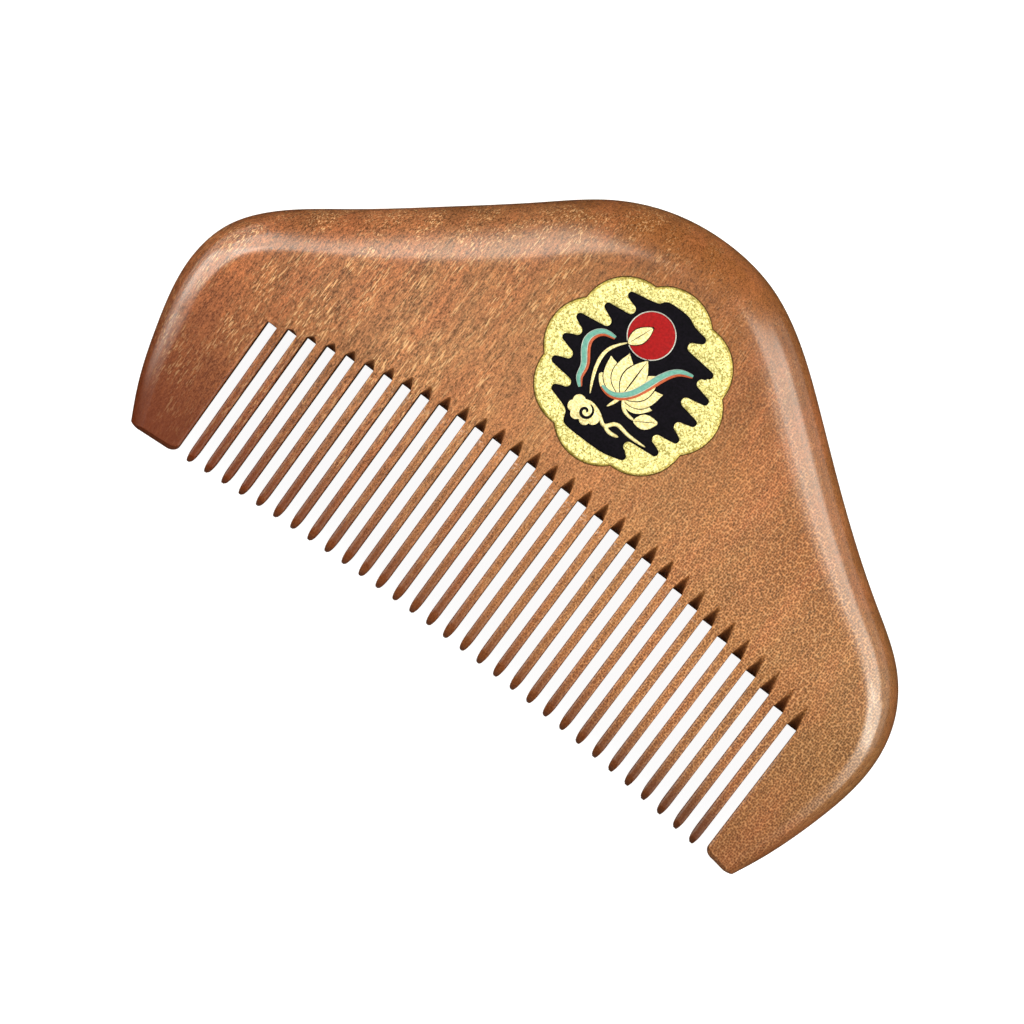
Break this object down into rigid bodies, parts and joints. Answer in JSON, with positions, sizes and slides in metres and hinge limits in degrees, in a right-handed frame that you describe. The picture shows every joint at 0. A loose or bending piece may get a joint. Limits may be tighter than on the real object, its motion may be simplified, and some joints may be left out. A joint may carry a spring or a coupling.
{
  "type": "beard comb",
  "caption": "Flat wooden pocket comb with a hill-shaped back, sawn teeth between two end guards, and a lobed gold and enamel medallion in its face.",
  "frame": {"origin": "under the middle of the bounding box, on the plane of the flat back, with the comb lying face up", "axes": "+X along the comb's length, +Y from the tips of the teeth to the crown, +Z out of the front face"},
  "size_m": [0.1048, 0.062, 0.0108],
  "materials": {
    "wood": "oiled and polished, fine grain along the teeth",
    "glue": "clear adhesive film",
    "gold_plate": "pale gold, finely hammered",
    "black_enamel": "satin enamel",
    "red_enamel": "satin enamel",
    "teal_enamel": "satin enamel",
    "orange_enamel": "satin enamel"
  },
  "bodies": {
    "root": {"comb_body": "wood", "adhesive_bed": "glue", "medallion_plate": "gold_plate", "field_enamel": "black_enamel", "sun_enamel": "red_enamel", "ribbon_enamel_left": "teal_enamel", "ribbon_enamel_right": "teal_enamel", "ribbon_lining_left": "orange_enamel", "ribbon_lining_right": "orange_enamel"}
  },
  "joints": []
}
